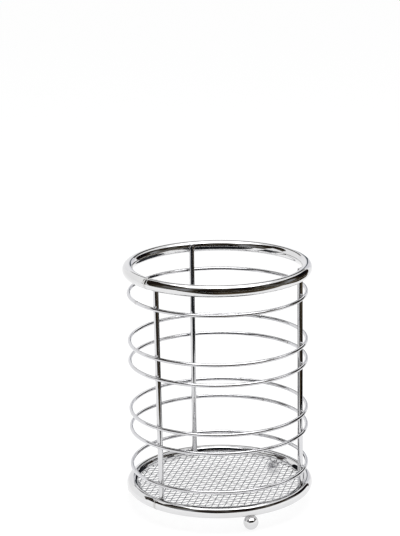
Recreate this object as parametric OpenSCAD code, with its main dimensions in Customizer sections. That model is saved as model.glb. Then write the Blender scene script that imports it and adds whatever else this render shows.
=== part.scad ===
// Cutlery holder: a round plated wire basket with a tube rim, a tube base ring,
// six thin hoops, three uprights, a woven wire floor and three ball feet.
// Lengths are in millimetres. The table is z = 0 and the basket's middle is x = y = 0.
// The front of the basket faces -Y, and turns run from the front towards +X.

/* [Basket] */
// Outside diameter over the rim and base tubes
basket_d = 133; // [110:1:160]
// Height from the table to the top of the rim tube
basket_h = 176.4; // [155:0.2:200]
// Diameter of the rim and base tubes
tube_d = 8; // [6.5:0.5:9.5]

/* [Hoops] */
// Diameter of the thin hoop wire
hoop_d = 2.6; // [2:0.1:3.2]
// Drop from the rim tube to the first hoop, centre to centre
first_hoop_drop = 17.2; // [12:0.2:24]
// Drop from the rim tube to the upper pair's top hoop
upper_pair_drop = 52; // [40:1:56]
// Distance between the two hoops of the upper pair
upper_pair_gap = 14.5; // [8:0.5:18]
// Rise from the base tube to the lower pair's bottom hoop
lower_pair_rise = 42.8; // [32:0.2:46]
// Distance between the two hoops of the lower pair
lower_pair_gap = 13.4; // [8:0.2:16]
// Rise from the base tube to the last hoop
last_hoop_rise = 14.6; // [10:0.2:22]

/* [Uprights] */
// Diameter of the three upright wires
upright_d = 3.8; // [2.6:0.1:4.4]
// How far an upright stands in from the inner side of the tubes
upright_proud = 1; // [0.2:0.1:1.4]
// Top end of an upright above the middle of the rim tube
upright_top_rise = 2.8; // [0:0.1:3]
// Bottom end of an upright below the middle of the base tube
upright_foot_drop = 0.8; // [0:0.1:1]
// Turn of the left upright from the front
upright_turn = -44; // [-55:0.5:-30]
// Lean of the left upright along its ring
upright_lean = 0.8; // [0:0.1:1.5]

/* [Feet] */
// Diameter of a ball foot
foot_d = 10.5; // [8:0.5:14]
// Turn of the front foot from the front
foot_turn = 20; // [10:0.5:30]

/* [Woven floor] */
// Diameter of the floor's woven wire
mesh_wire_d = 0.6; // [0.4:0.05:0.9]
// Distance between neighbouring floor wires
mesh_pitch = 4.35; // [3.5:0.05:6]
// Middle of the woven floor below the middle of the base tube
mesh_drop = 1.5; // [1:0.1:2.5]
// Turn of the long wires from front to back
mesh_turn = 12.3; // [-30:0.1:30]
// Slant of the cross wires away from square
mesh_skew = 20; // [0:0.5:25]

/* [Welds] */
// How deep crossing wires are pressed into each other
weld_sink = 0.2; // [0.1:0.05:0.4]
// Diameter of the weld nugget between a hoop and an upright
nugget_d = 2.2; // [1.4:0.1:2.6]
// How deep a ball foot is set into the base tube
foot_sink = 0.4; // [0.2:0.1:0.8]
// Length of the upset bead where a ring or hoop is closed
bead_len = 1.4; // [0.8:0.1:2.5]
// Height of that bead above a tube's surface
tube_bead_rise = 0.12; // [0.05:0.01:0.25]
// Height of that bead above a hoop's surface
hoop_bead_rise = 0.1; // [0.05:0.01:0.2]

/* [Hidden] */

// Faces of round sections, rings and floor wires
round_fn = 48;
ring_fn = 180;
ball_fn = 64;
wire_sides = 6;

// Three uprights and three feet stand evenly round the basket
upright_count = 3;
turn_step = 360 / upright_count;
// The right and rear uprights stand a little off the even spacing
right_stray = -1;
rear_stray = 2;

// Turns of the closing welds, from the front
rim_seam_turn = -48.3;
base_seam_turn = -43.4;
hoop_seam_turns = [-62.9, 150, 125.3, 164, 148, 172];

// Sizes that follow
tube_r = tube_d / 2;
hoop_wire_r = hoop_d / 2;
upright_wire_r = upright_d / 2;
foot_r = foot_d / 2;
mesh_wire_r = mesh_wire_d / 2;
ring_r = basket_d / 2 - tube_r;
upright_r = ring_r - tube_r - upright_proud + upright_wire_r;
hoop_r = upright_r + upright_wire_r + hoop_wire_r - weld_sink;
rim_z = basket_h - tube_r;
base_z = foot_d - foot_sink + tube_r;

// Heights of the six hoops, from the rim down
hoop_zs = [
  rim_z - first_hoop_drop,
  rim_z - upper_pair_drop,
  rim_z - upper_pair_drop - upper_pair_gap,
  base_z + lower_pair_rise + lower_pair_gap,
  base_z + lower_pair_rise,
  base_z + last_hoop_rise
];

// The floor: its wires end inside the base tube's inner flank, and where two wires
// cross, each bends away by half a wire less the press between them
mesh_z = base_z - mesh_drop;
wire_press = 0.04;
wire_bury = 0.5;
crimp_rise = mesh_wire_r - wire_press / 2;
mesh_r = ring_r - sqrt(pow(tube_r, 2) - pow(mesh_drop, 2)) + wire_bury;
wire_count = floor((mesh_r - mesh_pitch / 2) / mesh_pitch);
long_angle = 90 - mesh_turn;
cross_angle = mesh_skew - mesh_turn;

// A plain ring of round section
module round_ring(r, wire_r, z) {
  translate([0, 0, z])
    rotate_extrude($fn = ring_fn)
      translate([r, 0])
        circle(r = wire_r, $fn = round_fn);
}

// A ring closed by one weld with a low bead
module closed_ring(r, wire_r, z, seam_turn, bead_rise) {
  bead_angle = bead_len / r * 180 / PI;
  round_ring(r, wire_r, z);
  translate([0, 0, z])
    rotate([0, 0, seam_turn - 90 - bead_angle / 2])
      rotate_extrude(angle = bead_angle, $fn = ring_fn)
        translate([r, 0])
          circle(r = wire_r + bead_rise, $fn = round_fn);
}

// Moves a piece from the middle out to a radius, at a turn from the front
module at_turn(turn, r) {
  rotate([0, 0, turn])
    translate([0, -r, 0])
      children();
}

module rim_tube() {
  color("gainsboro")
    closed_ring(ring_r, tube_r, rim_z, rim_seam_turn, tube_bead_rise);
}

module base_ring() {
  color("gainsboro")
    closed_ring(ring_r, tube_r, base_z, base_seam_turn, tube_bead_rise);
}

// Hoop by its place in the table of heights, 0 at the top
module hoop(place) {
  color("silver")
    closed_ring(hoop_r, hoop_wire_r, hoop_zs[place], hoop_seam_turns[place], hoop_bead_rise);
}

// An upright inside the hoops, with a weld nugget out to each hoop it carries; its ends
// are coped to fit against the inner flanks of the two tubes; a lean moves its top back
// along the ring and its bottom forward
module upright(turn, lean) {
  bottom_z = base_z - upright_foot_drop;
  top_z = rim_z + upright_top_rise;
  middle_z = (bottom_z + top_z) / 2;
  color("darkgray")
    difference() {
      at_turn(turn, upright_r)
        translate([0, 0, middle_z])
          rotate([0, -lean, 0]) {
            translate([0, 0, bottom_z - middle_z])
              cylinder(r = upright_wire_r, h = top_z - bottom_z, $fn = round_fn);
            for (z = hoop_zs)
              translate([0, 0, z - middle_z])
                rotate([90, 0, 0])
                  cylinder(d = nugget_d, h = hoop_r - upright_r, $fn = round_fn);
          }
      round_ring(ring_r, tube_r - weld_sink, rim_z);
      round_ring(ring_r, tube_r - weld_sink, base_z);
    }
}

// A ball foot set into the underside of the base tube
module foot(turn) {
  color("whitesmoke")
    at_turn(turn, ring_r)
      translate([0, 0, foot_r])
        sphere(r = foot_r, $fn = ball_fn);
}

// Where wire `own` of one direction meets the wires of the other, along itself
function meeting(own, other, turn_between) =
  (other - own * cos(turn_between)) * mesh_pitch / sin(turn_between);

// Stations [along, height] of one floor wire: its two ends and each crossing between them
function stations(own, turn_between, side) =
  let (
    half = sqrt(pow(mesh_r, 2) - pow(own * mesh_pitch, 2)),
    reach = ceil(2 * mesh_r / mesh_pitch),
    step = turn_between > 0 ? 1 : -1,
    crossings = [
      for (k = [-reach:reach])
        let (other = k * step, along = meeting(own, other, turn_between))
          if (abs(along) < half - mesh_wire_d)
            [along, side * crimp_rise * ((own + other) % 2 == 0 ? 1 : -1)]
    ]
  )
  concat([[-half, 0]], crossings, [[half, 0]]);

// One wavy floor wire as a tube through its stations
module floor_wire(own, turn_between, side) {
  path = stations(own, turn_between, side);
  last = len(path) - 1;
  points = [
    for (p = path, k = [0:wire_sides - 1])
      let (a = 360 * (k + 0.5) / wire_sides)
        [p[0], mesh_wire_r * cos(a), p[1] + mesh_wire_r * sin(a)]
  ];
  sides = [
    for (m = [0:last - 1], k = [0:wire_sides - 1])
      let (n = (k + 1) % wire_sides)
        [m * wire_sides + k, m * wire_sides + n, (m + 1) * wire_sides + n, (m + 1) * wire_sides + k]
  ];
  start_cap = [for (k = [wire_sides - 1:-1:0]) k];
  end_cap = [for (k = [0:wire_sides - 1]) last * wire_sides + k];
  polyhedron(points = points, faces = concat([start_cap], sides, [end_cap]));
}

// All floor wires of one direction; side is 1 where they start on top, -1 below
module floor_wires(own_angle, other_angle, side) {
  translate([0, 0, mesh_z])
    rotate([0, 0, own_angle])
      for (own = [-wire_count:wire_count])
        translate([0, own * mesh_pitch, 0])
          floor_wire(own, own_angle - other_angle, side);
}

module floor_long_wires() {
  color("lightsteelblue")
    floor_wires(long_angle, cross_angle, 1);
}

module floor_cross_wires() {
  color("slategray")
    floor_wires(cross_angle, long_angle, -1);
}

rim_tube();
base_ring();
hoop(0);  // hoop_1_top
hoop(1);  // hoop_2_upper_pair_top
hoop(2);  // hoop_3_upper_pair_bottom
hoop(3);  // hoop_4_lower_pair_top
hoop(4);  // hoop_5_lower_pair_bottom
hoop(5);  // hoop_6_bottom
upright(upright_turn, upright_lean);  // upright_left
upright(upright_turn + turn_step + right_stray, 0);  // upright_right
upright(upright_turn + 2 * turn_step + rear_stray, 0);  // upright_rear
floor_long_wires();
floor_cross_wires();
foot(foot_turn);  // foot_front
foot(foot_turn + turn_step);  // foot_rear
foot(foot_turn + 2 * turn_step);  // foot_left
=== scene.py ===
import math

import bmesh
import bpy
from mathutils import Matrix, Vector, noise


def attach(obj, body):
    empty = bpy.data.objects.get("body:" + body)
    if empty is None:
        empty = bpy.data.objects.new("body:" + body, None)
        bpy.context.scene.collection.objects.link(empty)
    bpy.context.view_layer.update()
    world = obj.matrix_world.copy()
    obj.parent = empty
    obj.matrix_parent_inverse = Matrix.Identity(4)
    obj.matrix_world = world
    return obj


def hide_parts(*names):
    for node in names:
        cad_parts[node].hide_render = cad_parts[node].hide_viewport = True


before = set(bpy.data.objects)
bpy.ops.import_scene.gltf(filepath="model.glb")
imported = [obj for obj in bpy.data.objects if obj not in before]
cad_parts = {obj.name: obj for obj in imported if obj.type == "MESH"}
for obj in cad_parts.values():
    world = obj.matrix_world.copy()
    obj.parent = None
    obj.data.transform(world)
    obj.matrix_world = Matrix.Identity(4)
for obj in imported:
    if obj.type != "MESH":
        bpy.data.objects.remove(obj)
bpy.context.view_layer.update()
mm = 0.001
upwards = Vector((0, 0, 1))


def linear(hexText):
    # sRGB hex to the linear colour that a shader takes
    values = []
    for place in (1, 3, 5):
        part = int(hexText[place:place + 2], 16) / 255
        values.append(part / 12.92 if part <= 0.04045 else ((part + 0.055) / 1.055) ** 2.4)
    return (*values, 1.0)


def addNode(tree, kind, settings=None, links=None):
    # lower-case settings are the node's own, the others are its inputs
    node = tree.nodes.new(kind)
    for key, value in (settings or {}).items():
        if isinstance(key, str) and hasattr(node, key):
            setattr(node, key, value)
        else:
            node.inputs[key].default_value = value
    for key, source in (links or {}).items():
        tree.links.new(source, node.inputs[key])
    return node


def newMaterial(name):
    material = bpy.data.materials.new(name)
    material.use_nodes = True
    material.node_tree.nodes.clear()
    return material, material.node_tree


def atTurn(turn, radius, z=0.0):
    # a point at a turn from the front, in millimetres
    angle = math.radians(turn)
    return Vector((radius * math.sin(angle), -radius * math.cos(angle), z))


def outwards(turn):
    return atTurn(turn, 1.0)


def wander(seed, place, scale):
    # smooth unevenness between about -1 and 1, the same at each run
    return noise.noise(Vector((place * scale, seed * 7.31, 0.5)))


def startMesh():
    mesh = bmesh.new()
    return mesh, mesh.verts.layers.float.new("weldHeat")


def skinTube(mesh, heat, stations, around, closed=False):
    # stations: (centre, side vector, up vector, radius, weld heat); round section through all of them
    rings = []
    for centre, side, up, radius, warmth in stations:
        ring = []
        for k in range(around):
            angle = 2 * math.pi * k / around
            vert = mesh.verts.new((centre + (side * math.cos(angle) + up * math.sin(angle)) * radius) * mm)
            vert[heat] = warmth
            ring.append(vert)
        rings.append(ring)
    last = len(rings) if closed else len(rings) - 1
    for i in range(last):
        near, far = rings[i], rings[(i + 1) % len(rings)]
        for k in range(around):
            n = (k + 1) % around
            mesh.faces.new((near[k], near[n], far[n], far[k]))
    if not closed:
        mesh.faces.new(rings[0][::-1])
        mesh.faces.new(rings[-1])


def alongPath(points, radiusAt, warmth, closed=False):
    # stations for skinTube along any path, with frames that don't twist
    stations = []
    count = len(points)
    side = None
    for i, point in enumerate(points):
        before = points[i - 1] if (i > 0 or closed) else point
        after = points[(i + 1) % count] if (i < count - 1 or closed) else point
        forward = (after - before).normalized()
        if side is None:
            helper = upwards if abs(forward.z) < 0.9 else Vector((1, 0, 0))
            side = forward.cross(helper).normalized()
        side = (side - forward * side.dot(forward)).normalized()
        stations.append((point, side, forward.cross(side), radiusAt(i / (count - 1)), warmth))
    return stations


# lumps of two sizes, as shares of the nugget's own size
weldNugget = {"coarse": 0.09, "coarseWave": 1.7, "fine": 0.04, "fineWave": 4.1, "heat": 0.75}


def addNugget(mesh, heat, centre, axes, sizes, seed):
    # a lumpy weld nugget: axes are three unit vectors, sizes its half widths along them
    made = bmesh.ops.create_icosphere(mesh, subdivisions=3, radius=1.0)
    for vert in made["verts"]:
        way = vert.co.copy()
        coarse = noise.noise(way * weldNugget["coarseWave"] + Vector((seed * 3.7, 0.3, 0.9)))
        fine = noise.noise(way * weldNugget["fineWave"] + Vector((0.4, seed * 2.3, 0.1)))
        lump = 1 + weldNugget["coarse"] * coarse + weldNugget["fine"] * fine
        offset = sum((axes[k] * way[k] * sizes[k] * lump for k in range(3)), Vector())
        vert.co = (centre + offset) * mm
        vert[heat] = weldNugget["heat"]


def finishPiece(mesh, name, material, nodes):
    bmesh.ops.recalc_face_normals(mesh, faces=mesh.faces)
    for face in mesh.faces:
        face.smooth = len(face.verts) < 5
    data = bpy.data.meshes.new(name)
    mesh.to_mesh(data)
    mesh.free()
    piece = bpy.data.objects.new(name, data)
    bpy.context.scene.collection.objects.link(piece)
    data.materials.append(material)
    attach(piece, "root")
    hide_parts(*nodes)
    return piece


# What each plated finish is: steel under bright nickel and chrome plate. Its peel is 1 to 4 mm across.
# Real drawing and polishing marks are 0.1 mm or finer, and are drawn 0.3 to 0.6 mm wide so that they show.
chromeFinishes = {
    "chromePlatedTube": {  # polished before plating: a clean mirror with a faint orange peel
        "colour": "#e2e2e3", "weldColour": "#9d9993", "shine": (0.02, 0.05),
        "peelSize": 3.0, "peelDepth": 0.0035, "drawSize": 0.5, "drawDepth": 0.0008},
    "chromePlatedRod": {  # straightened and polished wire: a mirror with fine marks along it
        "colour": "#d9d9db", "weldColour": "#9d9a95", "shine": (0.04, 0.09),
        "peelSize": 2.0, "peelDepth": 0.0025, "drawSize": 0.35, "drawDepth": 0.0012},
    "chromePlatedHoopWire": {  # thin wire plated as drawn: die marks spread the highlights across it
        "colour": "#d8d8db", "weldColour": "#9d9a95", "shine": (0.13, 0.18), "grain": 0.85,
        "peelSize": 2.0, "peelDepth": 0.0025, "drawSize": 0.35, "drawDepth": 0.0012},
    "chromePlatedMesh": {  # woven wire plated after weaving: duller, and darker all over than the other finishes
        "colour": "#bbbcc0", "weldColour": "#807e7a", "shine": (0.14, 0.26),
        "peelSize": 1.2, "peelDepth": 0.002, "drawSize": 0.3, "drawDepth": 0.0015},
    "chromePlatedBall": {  # tumbled and polished: the cleanest mirror of all
        "colour": "#dededf", "weldColour": "#9d9993", "shine": (0.015, 0.04),
        "peelSize": 4.0, "peelDepth": 0.002, "drawSize": 0.6, "drawDepth": 0.0004},
}
# what all the finishes share: the plate varies over about two centimetres, and heat spots the welds
plating = {"filmSize": 22, "thinSpots": (0.35, 0.7), "thinTint": 0.10, "shineSpots": (0.3, 0.7),
           "burntSpots": (0.3, 0.75), "burntTint": (0.2, 0.75), "weldRoughness": 0.16}


def makeChrome(name):
    finish = chromeFinishes[name]
    material, tree = newMaterial(name)
    place = addNode(tree, "ShaderNodeTexCoord").outputs["Object"]
    welded = addNode(tree, "ShaderNodeAttribute", {"attribute_name": "weldHeat"}).outputs["Fac"]
    # noise scales are per metre, so 1000 / size in millimetres
    peel = addNode(tree, "ShaderNodeTexNoise",
                   {"Scale": 1000 / finish["peelSize"], "Detail": 2.0}, {"Vector": place})
    drawn = addNode(tree, "ShaderNodeTexNoise",
                    {"Scale": 1000 / finish["drawSize"], "Detail": 3.0}, {"Vector": place})
    film = addNode(tree, "ShaderNodeTexNoise",
                   {"Scale": 1000 / plating["filmSize"], "Detail": 3.0}, {"Vector": place})
    # the plate is a touch greyer where the polish is thin, and brown-grey on the welds
    thin = addNode(tree, "ShaderNodeMapRange",
                   {"From Min": plating["thinSpots"][0], "From Max": plating["thinSpots"][1],
                    "To Max": plating["thinTint"]}, {"Value": film.outputs["Fac"]})
    plated = addNode(tree, "ShaderNodeMix",
                     {"data_type": "RGBA", "A": linear(finish["colour"]),
                      "B": linear(finish["weldColour"])}, {"Factor": thin.outputs["Result"]})
    spots = addNode(tree, "ShaderNodeMapRange",
                    {"From Min": plating["burntSpots"][0], "From Max": plating["burntSpots"][1],
                     "To Min": plating["burntTint"][0], "To Max": plating["burntTint"][1]},
                    {"Value": drawn.outputs["Fac"]})
    burnt = addNode(tree, "ShaderNodeMath", {"operation": "MULTIPLY"},
                    {0: spots.outputs["Result"], 1: welded})
    colour = addNode(tree, "ShaderNodeMix", {"data_type": "RGBA", "B": linear(finish["weldColour"])},
                     {"Factor": burnt.outputs["Value"], "A": plated.outputs["Result"]})
    shine = addNode(tree, "ShaderNodeMapRange",
                    {"From Min": plating["shineSpots"][0], "From Max": plating["shineSpots"][1],
                     "To Min": finish["shine"][0], "To Max": finish["shine"][1]},
                    {"Value": film.outputs["Fac"]})
    rough = addNode(tree, "ShaderNodeMath", {"operation": "MULTIPLY_ADD", 1: plating["weldRoughness"]},
                    {0: welded, 2: shine.outputs["Result"]})
    peelBump = addNode(tree, "ShaderNodeBump", {"Strength": 1.0, "Distance": finish["peelDepth"] * mm},
                       {"Height": peel.outputs["Fac"]})
    drawBump = addNode(tree, "ShaderNodeBump", {"Strength": 1.0, "Distance": finish["drawDepth"] * mm},
                       {"Height": drawn.outputs["Fac"], "Normal": peelBump.outputs["Normal"]})
    shader = addNode(tree, "ShaderNodeBsdfPrincipled", {"Metallic": 1.0},
                     {"Base Color": colour.outputs["Result"], "Roughness": rough.outputs["Value"],
                      "Normal": drawBump.outputs["Normal"]})
    if "grain" in finish:
        # the tangent runs round the basket, along the wire; a quarter turn lays the spread across it
        along = addNode(tree, "ShaderNodeTangent", {"direction_type": "RADIAL", "axis": "Z"})
        shader.inputs["Anisotropic"].default_value = finish["grain"]
        shader.inputs["Anisotropic Rotation"].default_value = 0.25
        tree.links.new(along.outputs["Tangent"], shader.inputs["Tangent"])
    addNode(tree, "ShaderNodeOutputMaterial", {}, {"Surface": shader.outputs["BSDF"]})
    return material


finishes = {name: makeChrome(name) for name in chromeFinishes}
print("chrome finishes ready")


# Rim tube, base ring and the six hoops.
tubeRings = {
    "rimTube": {"node": "rim_tube", "z": 172.4, "seamTurn": -48.3},
    "baseRing": {"node": "base_ring", "z": 14.1, "seamTurn": -43.4},
}
tubeRing = {"ringRadius": 62.5, "tubeRadius": 4.0, "around": 48, "seamRise": 0.12, "seamWidth": 0.55,
            "groove": 0.03, "ripple": 0.03, "rippleWave": 14.0, "rippleRise": 0.6}

hoops = {
    "hoop1Top": {"node": "hoop_1_top", "z": 155.2, "seamTurn": -62.9},
    "hoop2UpperPairTop": {"node": "hoop_2_upper_pair_top", "z": 120.4, "seamTurn": 150.0},
    "hoop3UpperPairBottom": {"node": "hoop_3_upper_pair_bottom", "z": 105.9, "seamTurn": 125.3},
    "hoop4LowerPairTop": {"node": "hoop_4_lower_pair_top", "z": 70.3, "seamTurn": 164.0},
    "hoop5LowerPairBottom": {"node": "hoop_5_lower_pair_bottom", "z": 56.9, "seamTurn": 148.0},
    "hoop6Bottom": {"node": "hoop_6_bottom", "z": 28.7, "seamTurn": 172.0},
}
hoopWire = {"ringRadius": 62.4, "tubeRadius": 1.3, "around": 24, "seamRise": 0.1, "seamWidth": 0.5,
            "groove": 0.04, "ripple": 0.05, "rippleWave": 30.0, "rippleRise": 0.6}

# the weld that closes a ring: distances are along the ring, from the middle of the weld, and zone is
# the stretch to each side that has fine steps
closingWeld = {"zone": 4, "fineSteps": 24, "coarseSteps": 352, "grooveAt": 1.3, "grooveWidth": 0.35,
               "heatReach": 1.1, "heat": 0.9}


def ringTurns(radius, seamTurn):
    # even steps of about a degree, and fine ones across the closing weld
    zone = closingWeld["zone"] * 180 / (math.pi * radius)
    fineSteps, coarseSteps = closingWeld["fineSteps"], closingWeld["coarseSteps"]
    fine = [seamTurn + k / fineSteps * zone for k in range(-fineSteps, fineSteps + 1)]
    coarse = [seamTurn + zone + k * (360 - 2 * zone) / coarseSteps for k in range(1, coarseSteps)]
    return fine + coarse


def buildRing(name, ring, wire, seed, material):
    mesh, heat = startMesh()
    stations = []
    loop = wire["ringRadius"] / wire["rippleWave"]
    for turn in ringTurns(wire["ringRadius"], ring["seamTurn"]):
        away = abs(turn - ring["seamTurn"])
        away = min(away, 360 - away) * math.pi * wire["ringRadius"] / 180
        # a low bead with a shallow groove ground into each side of it
        bead = math.exp(-(away / wire["seamWidth"]) ** 2)
        groove = math.exp(-((away - closingWeld["grooveAt"]) / closingWeld["grooveWidth"]) ** 2)
        radius = wire["tubeRadius"] + wire["seamRise"] * bead - wire["groove"] * groove
        warmth = closingWeld["heat"] * math.exp(-(away / closingWeld["heatReach"]) ** 2)
        # a ring bent from tube or wire is never quite true
        angle = math.radians(turn)
        swell = noise.noise(Vector((math.cos(angle) * loop, math.sin(angle) * loop, seed * 5.1)))
        centre = atTurn(turn, wire["ringRadius"] + wire["ripple"] * swell,
                        ring["z"] + wire["ripple"] * swell * wire["rippleRise"])
        stations.append((centre, outwards(turn), upwards, radius, warmth))
    skinTube(mesh, heat, stations, wire["around"], closed=True)
    return finishPiece(mesh, name, material, [ring["node"]])


ringPieces = [buildRing(name, ring, tubeRing, seed, finishes["chromePlatedTube"])
              for seed, (name, ring) in enumerate(tubeRings.items(), 1)]
hoopPieces = [buildRing(name, ring, hoopWire, seed, finishes["chromePlatedHoopWire"])
              for seed, (name, ring) in enumerate(hoops.items(), 11)]
print("rings and hoops built")


# Uprights with their weld nuggets and the weld lines at their ends.
uprights = {
    "uprightLeft": {"node": "upright_left", "turn": -44.0, "lean": 0.8},
    "uprightRight": {"node": "upright_right", "turn": 75.0, "lean": 0.0},
    "uprightRear": {"node": "upright_rear", "turn": 198.0, "lean": 0.0},
}
# chamferBend is where a chamfer bends: a share of its height, and how far in from the rod's side
uprightRod = {"radius": 1.9, "away": 59.4, "bottom": 13.3, "top": 175.2, "around": 28, "step": 2.5,
              "chamfer": 0.35, "chamferBend": (0.4, 0.1), "sway": 0.05, "swayWave": 40,
              "nugget": (1.5, 1.2, 0.95), "nuggetSink": 0.1, "nuggetStray": 0.12,
              "heatReach": 2.0, "heat": 0.45}
# rises are from the middle of the tube: openRise is where the rod ends, closedRise the far side's end
endWeld = {"openRise": {"rimTube": 2.8, "baseRing": -0.8}, "closedRise": 3.8, "steps": 14, "around": 12,
           "thick": 0.42, "uneven": 0.28, "unevenWave": 40, "heat": 0.8}


def tubeFlank(rise):
    # distance from the basket's axis to the inner flank of a tube, at a height from its middle
    return tubeRing["ringRadius"] - math.sqrt(max(tubeRing["tubeRadius"] ** 2 - rise ** 2, 0))


def endLine(turn, away, tubeZ, openRise, seed):
    # the weld line where the rod sinks into a tube's flank: down one side, round, and up the other;
    # away is how far the rod's lean has moved that end sideways
    closedRise = math.copysign(endWeld["closedRise"], -openRise)
    sideways = outwards(turn + 90)
    oneSide, otherSide = [], []
    for k in range(endWeld["steps"] + 1):
        rise = openRise + (closedRise - openRise) * k / endWeld["steps"]
        reach = tubeFlank(rise)
        half = math.sqrt(max(uprightRod["radius"] ** 2 - (reach - uprightRod["away"]) ** 2, 0))
        middle = atTurn(turn, reach, tubeZ + rise)
        oneSide.append(middle + sideways * (away + half))
        otherSide.append(middle + sideways * (away - half))

    def thickness(share):
        place = share * endWeld["unevenWave"]
        return endWeld["thick"] * (1 + endWeld["uneven"] * wander(seed, place, 1.0))

    return alongPath(oneSide + otherSide[::-1], thickness, endWeld["heat"])


def buildUpright(name, upright, seed):
    mesh, heat = startMesh()
    turn = upright["turn"]
    side, out = outwards(turn + 90), outwards(turn)
    rod = uprightRod
    bottom, top, radius, chamfer = rod["bottom"], rod["top"], rod["radius"], rod["chamfer"]

    def leaning(z):
        # how far the lean moves the rod sideways at a height, in the way the turns run
        return ((bottom + top) / 2 - z) * math.tan(math.radians(upright["lean"]))

    # levels up the rod with its radius there: a chamfer in two steps at each end, even steps between
    bendRise, bendIn = chamfer * rod["chamferBend"][0], rod["chamferBend"][1]
    levels = [(bottom, radius - chamfer), (bottom + bendRise, radius - bendIn)]
    z = bottom + chamfer
    while z < top - chamfer:
        levels.append((z, radius))
        z += rod["step"]
    levels += [(top - chamfer, radius), (top - bendRise, radius - bendIn), (top, radius - chamfer)]

    weldLevels = [ring["z"] for ring in list(hoops.values()) + list(tubeRings.values())]
    stations = []
    for z, width in levels:
        near = min(abs(z - level) for level in weldLevels)
        warmth = rod["heat"] * math.exp(-(near / rod["heatReach"]) ** 2)
        sway = rod["sway"] * wander(seed, z, 1 / rod["swayWave"])
        centre = atTurn(turn, rod["away"] + sway, z) + side * leaning(z)
        stations.append((centre, out, side, width, warmth))
    skinTube(mesh, heat, stations, rod["around"])

    for count, hoop in enumerate(hoops.values()):
        level = hoop["z"] + rod["nuggetStray"] * wander(seed, count * 9.0, 1.0)
        centre = atTurn(turn, rod["away"] + radius - rod["nuggetSink"], level) + side * leaning(hoop["z"])
        addNugget(mesh, heat, centre, (side, upwards, out), rod["nugget"], seed * 10 + count)
    for count, (tube, openRise) in enumerate(endWeld["openRise"].items()):
        tubeZ = tubeRings[tube]["z"]
        line = endLine(turn, leaning(tubeZ), tubeZ, openRise, seed + 5 * count)
        skinTube(mesh, heat, line, endWeld["around"])
    return finishPiece(mesh, name, finishes["chromePlatedRod"], [upright["node"]])


for seed, (name, upright) in enumerate(uprights.items(), 21):
    buildUpright(name, upright, seed)
print("uprights welded in")


# Woven floor: two sets of crimped wires, each over and under the other.
weave = {"pitch": 4.35, "wire": 0.6, "press": 0.04, "turn": 12.3, "skew": 20.0, "drop": 1.5, "bury": 0.5,
         "around": 8, "cellSteps": 6, "tack": 0.16, "tackAt": 0.4, "tackWidth": 0.7, "tackHeat": 0.8}


def wirePath(own, slant, side, reach):
    # centre line of one wire, along x, with a smooth wave through its crossings;
    # slant is the angle to the wires that it crosses
    half = math.sqrt(reach ** 2 - (own * weave["pitch"]) ** 2)
    crimp = (weave["wire"] - weave["press"]) / 2
    angle = math.radians(slant)
    most = math.ceil(2 * reach / weave["pitch"])
    knots = []
    for other in range(-most, most + 1):
        along = (other - own * math.cos(angle)) * weave["pitch"] / math.sin(angle)
        if abs(along) < half - weave["wire"]:
            knots.append((along, side * crimp * (1 if (own + other) % 2 == 0 else -1)))
    knots = [(-half, 0.0)] + sorted(knots) + [(half, 0.0)]
    path = []
    for (x0, z0), (x1, z1) in zip(knots[:-1], knots[1:]):
        for k in range(weave["cellSteps"]):
            share = k / weave["cellSteps"]
            # level at each crossing, with a smooth slope between
            path.append((x0 + (x1 - x0) * share, z0 + (z1 - z0) * (1 - math.cos(math.pi * share)) / 2))
    path.append(knots[-1])
    return path, half


def buildFloor(name, node, ownAngle, otherAngle, side):
    mesh, heat = startMesh()
    level = tubeRings["baseRing"]["z"] - weave["drop"]
    reach = tubeFlank(weave["drop"]) + weave["bury"]
    most = math.floor((reach - weave["pitch"] / 2) / weave["pitch"])
    turned = Matrix.Rotation(math.radians(ownAngle), 3, "Z")
    sideways = turned @ Vector((0, 1, 0))
    for own in range(-most, most + 1):
        path, half = wirePath(own, ownAngle - otherAngle, side, reach)
        stations = []
        for i, (x, z) in enumerate(path):
            x0, z0 = path[max(i - 1, 0)]
            x1, z1 = path[min(i + 1, len(path) - 1)]
            forward = (turned @ Vector((x1 - x0, 0, z1 - z0))).normalized()
            # a small tack of weld where the wire meets the tube
            toEnd = half - abs(x)
            tack = math.exp(-((toEnd - weave["tackAt"]) / weave["tackWidth"]) ** 2)
            centre = turned @ Vector((x, own * weave["pitch"], z)) + Vector((0, 0, level))
            radius = weave["wire"] / 2 + weave["tack"] * tack
            stations.append((centre, sideways, sideways.cross(forward), radius, weave["tackHeat"] * tack))
        skinTube(mesh, heat, stations, weave["around"])
    return finishPiece(mesh, name, finishes["chromePlatedMesh"], [node])


longAngle = 90 - weave["turn"]
crossAngle = weave["skew"] - weave["turn"]
floorPieces = [buildFloor("floorLongWires", "floor_long_wires", longAngle, crossAngle, 1),
               buildFloor("floorCrossWires", "floor_cross_wires", crossAngle, longAngle, -1)]
print("floor woven")


# Ball feet.
feet = {
    "footFront": {"node": "foot_front", "turn": 20.0},
    "footRear": {"node": "foot_rear", "turn": 140.0},
    "footLeft": {"node": "foot_left", "turn": 260.0},
}
# weldPatch: half sizes, along and across the tube, of the patch where the ball sinks into it
ballFoot = {"radius": 5.25, "around": 72, "rows": 44, "heatReach": 2.6, "heat": 0.6,
            "weldPatch": (2.0, 1.34), "weldSteps": 40, "weldAround": 12, "weldThick": 0.38,
            "weldUneven": 0.25, "weldWave": 3, "weldHeat": 0.8}


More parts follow.
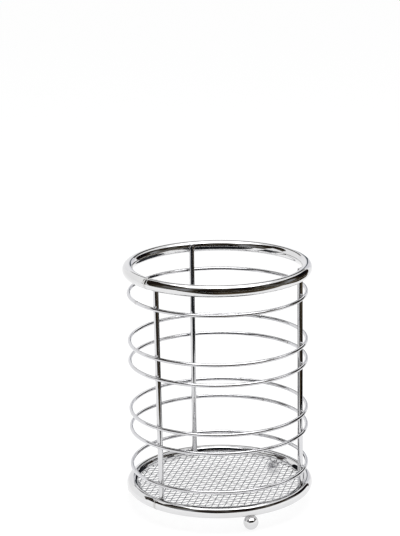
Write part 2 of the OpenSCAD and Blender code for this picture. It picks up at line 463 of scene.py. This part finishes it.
def buildFoot(name, foot, seed):
    mesh, heat = startMesh()
    middle = atTurn(foot["turn"], tubeRing["ringRadius"], ballFoot["radius"])
    side, out = outwards(foot["turn"] + 90), outwards(foot["turn"])
    around = ballFoot["around"]
    rings = []
    for row in range(1, ballFoot["rows"]):
        polar = math.pi * row / ballFoot["rows"]
        warmth = ballFoot["heat"] * math.exp(-(ballFoot["radius"] * polar / ballFoot["heatReach"]) ** 4)
        ring = []
        for k in range(around):
            angle = 2 * math.pi * k / around
            flat = side * math.cos(angle) + out * math.sin(angle)
            way = flat * math.sin(polar) + Vector((0, 0, math.cos(polar)))
            vert = mesh.verts.new((middle + way * ballFoot["radius"]) * mm)
            vert[heat] = warmth
            ring.append(vert)
        rings.append(ring)
    for near, far in zip(rings[:-1], rings[1:]):
        for k in range(around):
            n = (k + 1) % around
            mesh.faces.new((near[k], near[n], far[n], far[k]))
    for ring, sign in ((rings[0], 1), (rings[-1], -1)):
        pole = mesh.verts.new((middle + Vector((0, 0, sign * ballFoot["radius"]))) * mm)
        for k in range(around):
            n = (k + 1) % around
            mesh.faces.new((pole, ring[k], ring[n]) if sign < 0 else (pole, ring[n], ring[k]))

    # weld line round the small patch where the ball sinks into the tube
    line = []
    for k in range(ballFoot["weldSteps"]):
        angle = 2 * math.pi * k / ballFoot["weldSteps"]
        x, y = ballFoot["weldPatch"][0] * math.cos(angle), ballFoot["weldPatch"][1] * math.sin(angle)
        height = math.sqrt(ballFoot["radius"] ** 2 - x * x - y * y)
        line.append(middle + side * x + out * y + Vector((0, 0, height)))

    def thickness(share):
        place = math.cos(2 * math.pi * share) * ballFoot["weldWave"]
        return ballFoot["weldThick"] * (1 + ballFoot["weldUneven"] * wander(seed, place, 1.0))

    bead = alongPath(line, thickness, ballFoot["weldHeat"], closed=True)
    skinTube(mesh, heat, bead, ballFoot["weldAround"], closed=True)
    return finishPiece(mesh, name, finishes["chromePlatedBall"], [foot["node"]])


footPieces = [buildFoot(name, foot, seed) for seed, (name, foot) in enumerate(feet.items(), 31)]
print("ball feet set")


# Studio: sizes from here on are metres, turns and rises degrees. All but the floor are glowing panels that
# show only in the plate's reflections: painted reflections, laid out as a dark room, a black table cloth
# and a low white card would be in a product shot.
studio = {
    "floorSize": 8.0, "floorColour": "#f2f2f2", "floorGlow": 0.75, "floorStrength": 1.1,
    "skyForDiffuse": 0.72, "wallRadius": 3.0, "standRadius": 2.8, "wallSteps": (150, 24),
}
# upper and lower edge of the dark room, and how light it is: (turn, rise) and (turn, tone)
roomTop = [(-152, 50), (-130, 58), (-110, 63), (-92, 70), (-78, 81), (-50, 82), (-35, 78), (-10, 70),
           (0, 70), (40, 65), (70, 56), (110, 50), (130, 43), (145, 33), (152, 28)]
roomBottom = [(-152, 46), (-135, 41), (-112, 28), (-101, 15), (-98, -30), (128, -30), (133, -8),
              (138, 3), (144, 14), (152, 24)]
roomTone = [(-152, 0.3), (-82, 0.15), (-68, 0.65), (-40, 0.65), (-20, 0.25), (0, 0.15), (40, 0.2),
            (60, 0.3), (75, 0.6), (108, 0.6), (120, 0.2), (152, 0.25)]
# colours of the glowing panels' painted reflections: dark tones for the room and the gap, white ones for
# the cards
darkTones = [(0.0, "#0e0d0f"), (0.25, "#241c17"), (0.5, "#3f3a2f"), (0.8, "#6e6d6b"), (1.0, "#8e8f92")]
whiteTones = [(0.0, "#f6f6f6"), (1.0, "#fdfdfb")]


def stagePiece(name, verts, faces, material, seenByCamera=False):
    data = bpy.data.meshes.new(name)
    data.from_pydata([tuple(v) for v in verts], [], faces)
    data.materials.append(material)
    thing = bpy.data.objects.new(name, data)
    bpy.context.scene.collection.objects.link(thing)
    if not seenByCamera:
        thing.visible_camera = False
        thing.visible_diffuse = False
        thing.visible_shadow = False
        thing.visible_transmission = False
        thing.visible_volume_scatter = False
    return thing


def shineOnly(thing, pieces):
    # gives a lamp's or a card's light to these pieces alone; the others see a card of it black
    lit = bpy.data.collections.new(thing.name + "Pieces")
    for piece in pieces:
        lit.objects.link(piece)
    thing.light_linking.receiver_collection = lit


def glowing(name, strength, stops, mottle, size):
    # a card that shines evenly; its tone is an attribute of the mesh, stirred by mottle, a noise whose
    # values lie mostly between 0.3 and 0.7
    material, tree = newMaterial(name)
    place = addNode(tree, "ShaderNodeTexCoord").outputs["Object"]
    cloud = addNode(tree, "ShaderNodeTexNoise", {"Scale": 1 / size, "Detail": 3.0}, {"Vector": place})
    stir = addNode(tree, "ShaderNodeMapRange",
                   {"From Min": 0.3, "From Max": 0.7, "To Min": -mottle, "To Max": mottle, "clamp": False},
                   {"Value": cloud.outputs["Fac"]})
    tone = addNode(tree, "ShaderNodeAttribute", {"attribute_name": "tone"}).outputs["Fac"]
    mixed = addNode(tree, "ShaderNodeMath", {"operation": "ADD", "use_clamp": True},
                    {0: tone, 1: stir.outputs["Result"]})
    ramp = addNode(tree, "ShaderNodeValToRGB", {}, {"Fac": mixed.outputs["Value"]})
    while len(ramp.color_ramp.elements) < len(stops):
        ramp.color_ramp.elements.new(0.5)
    for element, (position, tint) in zip(ramp.color_ramp.elements, stops):
        element.position = position
        element.color = linear(tint)
    light = addNode(tree, "ShaderNodeEmission", {"Strength": strength}, {"Color": ramp.outputs["Color"]})
    addNode(tree, "ShaderNodeOutputMaterial", {}, {"Surface": light.outputs["Emission"]})
    return material


def setTone(thing, tone):
    thing.data.attributes.new("tone", "FLOAT", "POINT").data.foreach_set("value", tone)


def wallStrip(count):
    # faces of an upright strip whose points run low, high, low, high
    return [(2 * k, 2 * k + 2, 2 * k + 3, 2 * k + 1) for k in range(count)]


def between(stops, place):
    # straight-line reading of a list of (place, value)
    for (near, low), (far, high) in zip(stops[:-1], stops[1:]):
        if place <= far:
            return low + (high - low) * (place - near) / (far - near)
    return stops[-1][1]


def skyPoint(turn, rise, radius, middle=(0, 0, 0)):
    # a point at a turn from the front and a rise from the level, as seen from the middle
    angle, height = math.radians(turn), math.radians(rise)
    across = math.cos(height)
    way = Vector((math.sin(angle) * across, -math.cos(angle) * across, math.sin(height)))
    return Vector(middle) + way * radius


def skyPatch(name, bottom, top, tones, material, radius=studio["wallRadius"], middle=(0, 0, 0)):
    # a piece of the studio's wall between two edges, as seen from its middle
    across, high = studio["wallSteps"]
    first, last = top[0][0], top[-1][0]
    turns = [first + (last - first) * i / across for i in range(across + 1)]
    verts, tone = [], []
    for j in range(high + 1):
        for turn in turns:
            low, up = between(bottom, turn), between(top, turn)
            verts.append(skyPoint(turn, low + (up - low) * j / high, radius, middle))
            tone.append(between(tones, turn))
    row = across + 1
    faces = [(j * row + i, j * row + i + 1, (j + 1) * row + i + 1, (j + 1) * row + i)
             for j in range(high) for i in range(across)]
    setTone(stagePiece(name, verts, faces, material), tone)


# painted reflection: the dark room is a glowing wall seen only in the plate, and draws the dark bands
# across the tubes and wires
skyPatch("darkRoom", roomBottom, roomTop, roomTone, glowing("darkRoomWall", 1.0, darkTones, 0.6, 1.3))
# the paper sweep is a pale grey behind, where the ends of the rings look, with a dark gap above it: painted
# reflections, glowing panels seen only in the plate, that draw grey and dark lines at the rings' ends and
# top edges
skyPatch("gapAboveSweep", [(158, 25), (196, 25)], [(158, 45), (196, 45)], [(158, 0.6), (196, 0.7)],
         glowing("darkGap", 1.0, darkTones, 0.1, 0.8))
skyPatch("sweepBehind", [(152, -12), (208, -12)], [(152, 24), (208, 24)],
         [(152, 0.35), (176, 0.45), (188, 1.0), (208, 1.0)],
         glowing("paleSweep", 1.0, [(0.0, "#d6d6dd"), (1.0, "#fcfcfd")], 0.3, 0.8))
# a dark stand behind, a glowing panel seen only in the plate, draws a thin painted reflection line along
# the ends of the rings
skyPatch("stand", [(168, 3), (174, 3)], [(168, 34), (174, 34)], [(168, 0.3), (174, 0.7)],
         glowing("darkStand", 1.0, [(0.0, "#30383e"), (1.0, "#646e74")], 0.2, 0.8), studio["standRadius"])
# a small white card close to the rim's left, a glowing panel seen only in the plate, paints a light
# reflection that ends the dark in the rim right of its weld
rimCard = {"top": [(-150, 44), (-134, 42), (-116, 36), (-104, 29), (-95, 16), (-86, 1)],
           "bottom": [(-150, 2), (-100, 2), (-86, 0)], "tone": [(-150, 0.5), (-86, 0.5)],
           "radius": 0.15, "middle": (-0.048, -0.041, 0.173)}
skyPatch("rimCard", rimCard["bottom"], rimCard["top"], rimCard["tone"],
         glowing("whiteRimCard", 1.05, whiteTones, 0.5, 0.2), rimCard["radius"], rimCard["middle"])

# the white card's foot, the height up to which all pieces see it white, and its full height:
# (x, y, low, high), from the left round the front to the right
cardStations = [(-0.370, 0.025, 0.142, 0.150), (-0.360, -0.120, 0.126, 0.135),
                (-0.340, -0.320, 0.110, 0.135), (-0.130, -0.240, 0.038, 0.066),
                (-0.010, -0.165, 0.016, 0.026), (0.075, -0.150, 0.015, 0.031),
                (0.150, -0.115, 0.012, 0.056), (0.270, -0.070, 0.004, 0.112),
                (0.235, 0.060, 0.004, 0.076), (0.262, 0.215, 0.004, 0.082)]
cardSteps = 8
# the cloth is a painted reflection, a dark glowing panel seen only in the plate; it runs from just outside
# the card's foot, clear of the floor, and fans out to its far edge
tableCloth = {"start": 1.003, "lift": 0.0004, "reach": 2.6, "fan": 1.07, "nearTone": 0.06}
# how light the brown of the cloth is at its far edge; near the card it is black
clothTone = [(-100, 0.12), (-10, 0.12), (25, 0.22), (50, 0.25), (70, 0.42), (105, 0.42), (125, 0.12),
             (140, 0.12)]

lowVerts, highVerts, clothVerts, tone = [], [], [], []
clothLift = Vector((0, 0, tableCloth["lift"]))
for near, far in zip(cardStations[:-1], cardStations[1:]):
    for k in range(cardSteps):
        x, y, low, high = (a + (b - a) * k / cardSteps for a, b in zip(near, far))
        foot = Vector((x, y, 0))
        turn = math.degrees(math.atan2(x, -y)) * tableCloth["fan"]
        lowVerts += [foot, foot + Vector((0, 0, low))]
        highVerts += [foot + Vector((0, 0, low)), foot + Vector((0, 0, high))]
        clothVerts += [foot * tableCloth["start"] + clothLift,
                       skyPoint(turn, 0, tableCloth["reach"]) + clothLift]
        tone += [tableCloth["nearTone"], between(clothTone, turn)]
strip = wallStrip(len(lowVerts) // 2 - 1)
# painted reflection: the white bounce card glows brighter than white and shows only in the plate, where it
# draws the light lower halves of the tubes and wires
cardPaper = glowing("whiteBounceCard", 1.2, whiteTones, 0.5, 0.2)
stagePiece("lowBounceCard", lowVerts, strip, cardPaper)
# the uprights and the lower hoops see the upper strip of the card dark: it glows, a painted reflection,
# only for the pieces linked here
shineOnly(stagePiece("highBounceCard", highVerts, strip, cardPaper),
          ringPieces + hoopPieces[:3] + floorPieces + footPieces)
setTone(stagePiece("tableCloth", clothVerts, strip,
                   glowing("darkTableCloth", 1.0, [(0.0, "#1c1814"), (1.0, "#a8977a")], 0.3, 0.4)), tone)

# dark rolls of card stand in the basket, glowing panels seen only in the plate, and draw painted
# reflections: the dark lines on the inner sides of the tubes, the hoops and
# the uprights: (x, y) of the middle, half widths, low and high end
rolls = {
    "darkRollMiddle": ((0.0, 0.0), (0.036, 0.014), 0.055, 0.166),
    "darkRollRearLeft": ((-0.034, 0.034), (0.011, 0.011), 0.12, 0.166),
    "darkRollRight": ((0.0275, -0.020), (0.008, 0.008), 0.03, 0.10),
    "darkRollLeftEnd": ((-0.050, 0.021), (0.003, 0.005), 0.014, 0.028),
    "darkRollRightEnd": ((0.051, 0.019), (0.003, 0.007), 0.014, 0.04),
}
rollSides = 48
rollCard = glowing("darkRollCard", 1.0, [(0.0, "#17191c"), (1.0, "#4a4d52")], 0.6, 0.03)
for name, ((middleX, middleY), (halfX, halfY), low, high) in rolls.items():
    rollVerts = []
    for k in range(rollSides + 1):
        angle = 2 * math.pi * k / rollSides
        x, y = middleX + halfX * math.cos(angle), middleY + halfY * math.sin(angle)
        rollVerts += [(x, y, low), (x, y, high)]
    stagePiece(name, rollVerts, wallStrip(rollSides), rollCard)

sweepPaper, tree = newMaterial("whiteSweepPaper")
matte = addNode(tree, "ShaderNodeBsdfDiffuse", {"Color": linear(studio["floorColour"])})
glow = addNode(tree, "ShaderNodeEmission",
               {"Color": linear("#ffffff"), "Strength": studio["floorStrength"]})
both = addNode(tree, "ShaderNodeMixShader", {0: studio["floorGlow"]},
               {1: matte.outputs["BSDF"], 2: glow.outputs["Emission"]})
addNode(tree, "ShaderNodeOutputMaterial", {}, {"Surface": both.outputs["Shader"]})
edge = studio["floorSize"] / 2
corners = [(-edge, -edge, 0), (edge, -edge, 0), (edge, edge, 0), (-edge, edge, 0)]
stagePiece("floor", corners, [(0, 1, 2, 3)], sweepPaper, seenByCamera=True)

# the world is white to the camera and in reflections, and a little lower as light
world = bpy.data.worlds.new("whiteStudio")
bpy.context.scene.world = world
world.use_nodes = True
tree = world.node_tree
tree.nodes.clear()
lightPath = addNode(tree, "ShaderNodeLightPath")
seen = addNode(tree, "ShaderNodeMath", {"operation": "MAXIMUM"},
               {0: lightPath.outputs["Is Camera Ray"], 1: lightPath.outputs["Is Glossy Ray"]})
seen = addNode(tree, "ShaderNodeMath", {"operation": "MAXIMUM"},
               {0: seen.outputs["Value"], 1: lightPath.outputs["Is Transmission Ray"]})
strength = addNode(tree, "ShaderNodeMapRange", {"To Min": studio["skyForDiffuse"], "To Max": 1.0},
                   {"Value": seen.outputs["Value"]})
white = addNode(tree, "ShaderNodeBackground", {"Color": linear("#ffffff")},
                {"Strength": strength.outputs["Result"]})
addNode(tree, "ShaderNodeOutputWorld", {}, {"Surface": white.outputs["Background"]})

# one soft box overhead lights all; the others, in front, at the side and at the rear, light the hoops
# alone, and the first of them the feet too
softBoxes = {
    "softBox": {"power": 7.6, "size": (1.1, 0.8), "at": (0.06, 0.03, 1.25), "aim": (0.06, 0.03, 0.1),
                "only": []},
    "frontBox": {"power": 6.5, "size": (1.6, 0.6), "at": (0.2, -0.5, 0.9), "aim": (0.1, 0, 0.1),
                 "only": hoopPieces[:3] + footPieces},
    "lowFrontBox": {"power": 4.0, "size": (1.6, 0.6), "at": (0.2, -0.5, 0.9), "aim": (0.1, 0, 0.1),
                    "only": hoopPieces[3:]},
    "sideBox": {"power": 1.3, "size": (0.6, 0.4), "at": (1.05, 0.12, 0.85), "aim": (0, 0, 0.1),
                "only": hoopPieces},
    "rearSideBox": {"power": 0.8, "size": (0.6, 0.4), "at": (0.40, 1.05, 0.8), "aim": (0, 0, 0.1),
                    "only": hoopPieces},
}
for name, box in softBoxes.items():
    lamp = bpy.data.lights.new(name, "AREA")
    lamp.shape = "RECTANGLE"
    lamp.size, lamp.size_y = box["size"]
    lamp.energy = box["power"]
    softBox = bpy.data.objects.new(name, lamp)
    softBox.location = box["at"]
    softBox.rotation_euler = (Vector(box["aim"]) - Vector(box["at"])).to_track_quat("-Z", "Y").to_euler()
    softBox.visible_camera = False
    if box["only"]:
        shineOnly(softBox, box["only"])
    bpy.context.scene.collection.objects.link(softBox)
print("studio lit")


# The camera stands where a perspective fit to the rim, the base ring and the hoops puts it; only its
# focal length is in millimetres.
cameraFit = {"at": (0.0, -1.3345, 0.5266), "pitch": 14.877, "yaw": -0.514, "roll": -0.787, "focal": 177.705}
pitch, yaw, roll = (math.radians(cameraFit[key]) for key in ("pitch", "yaw", "roll"))
forward = Vector((math.sin(yaw) * math.cos(pitch), math.cos(yaw) * math.cos(pitch), -math.sin(pitch)))
right = Vector((math.cos(yaw), -math.sin(yaw), 0))
up = right.cross(forward)
camera = bpy.data.cameras.new("camera")
camera.sensor_fit = "HORIZONTAL"
camera.sensor_width = 36
camera.lens = cameraFit["focal"]
camera.clip_start = 0.01
viewer = bpy.data.objects.new("camera", camera)
tiltedRight = right * math.cos(roll) + up * math.sin(roll)
tiltedUp = up * math.cos(roll) - right * math.sin(roll)
viewer.matrix_world = Matrix.Translation(cameraFit["at"]) @ Matrix(
    (tiltedRight, tiltedUp, -forward)).transposed().to_4x4()
bpy.context.scene.collection.objects.link(viewer)
bpy.context.scene.camera = viewer
bpy.context.scene.view_settings.view_transform = "Standard"
print("camera placed")
